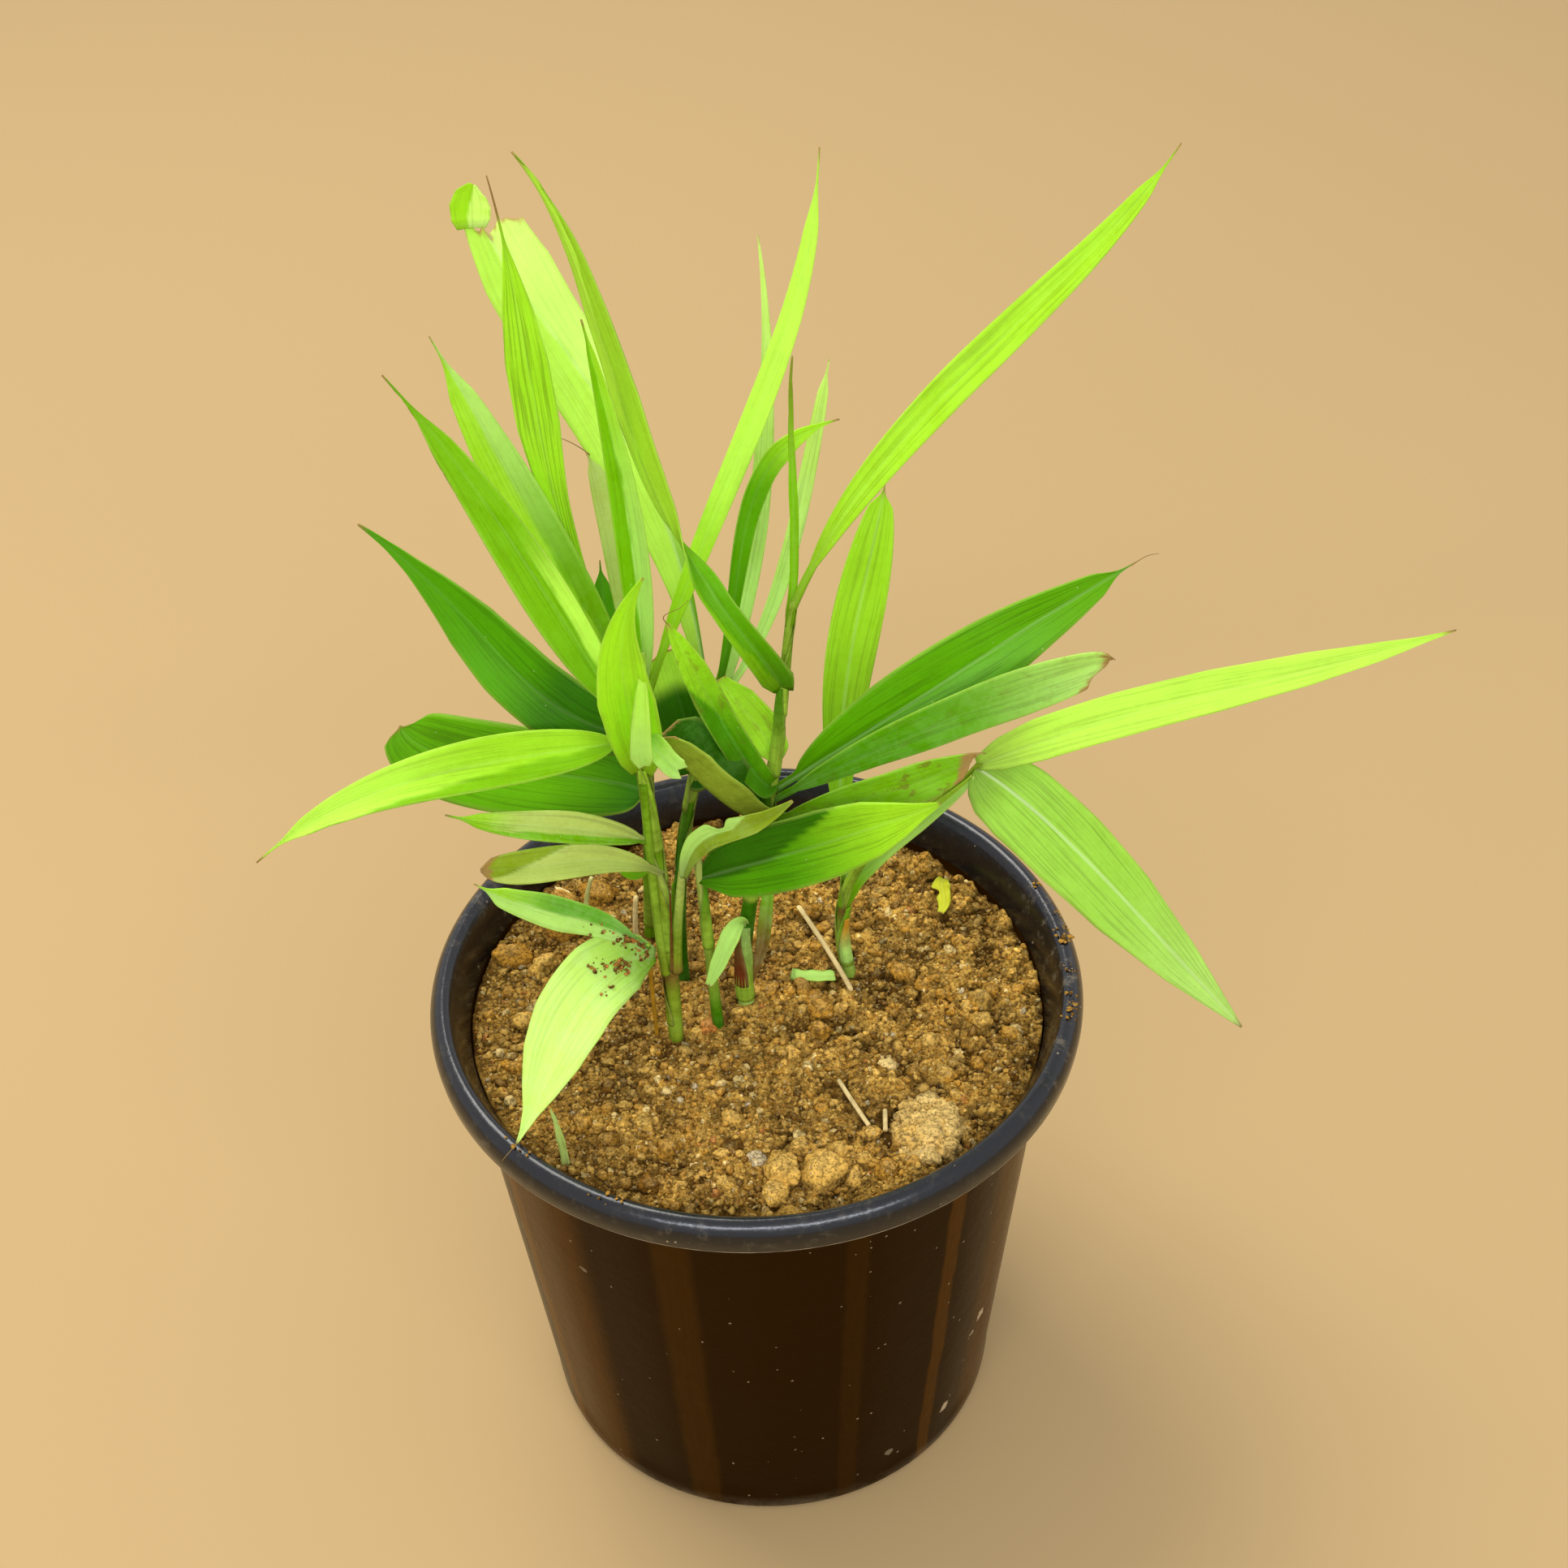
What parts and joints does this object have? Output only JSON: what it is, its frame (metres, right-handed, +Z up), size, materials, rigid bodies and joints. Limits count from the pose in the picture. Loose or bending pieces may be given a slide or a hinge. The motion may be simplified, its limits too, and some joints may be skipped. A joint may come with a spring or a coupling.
{
  "type": "potted cardamom plant",
  "caption": "Young cardamom plant: long pointed green leaves on leafy stems, rooted in crumbly brown soil in a round black nursery pot with a rolled lip.",
  "frame": {"origin": "centre of the pot's flat underside", "axes": "+Z up; the plant is seen from -Y, the side where the low shoot's leaf hangs over the lip; +X to that viewer's right, the side of the long straight leaf"},
  "size_m": [0.3355, 0.2065, 0.4284],
  "materials": {
    "pot_plastic": "satin",
    "soil": "matte",
    "leaf_green": "satin",
    "leaf_lime": "satin",
    "dry_leaf": "matte"
  },
  "bodies": {
    "root": {"pot": "pot_plastic", "soil": "soil", "stem_left": "leaf_green", "stem_left_back": "leaf_green", "stem_front": "leaf_green", "stem_middle": "leaf_green", "stem_back": "leaf_green", "stem_right": "leaf_green", "shoot_low": "leaf_green", "weed_shoot": "leaf_green", "scrap_green": "leaf_green", "scrap_yellow": "leaf_lime", "strip_pale": "dry_leaf", "straw_leaning": "dry_leaf", "straw_back": "dry_leaf", "straw_left": "dry_leaf", "straw_front": "dry_leaf", "straw_short": "dry_leaf"}
  },
  "joints": []
}
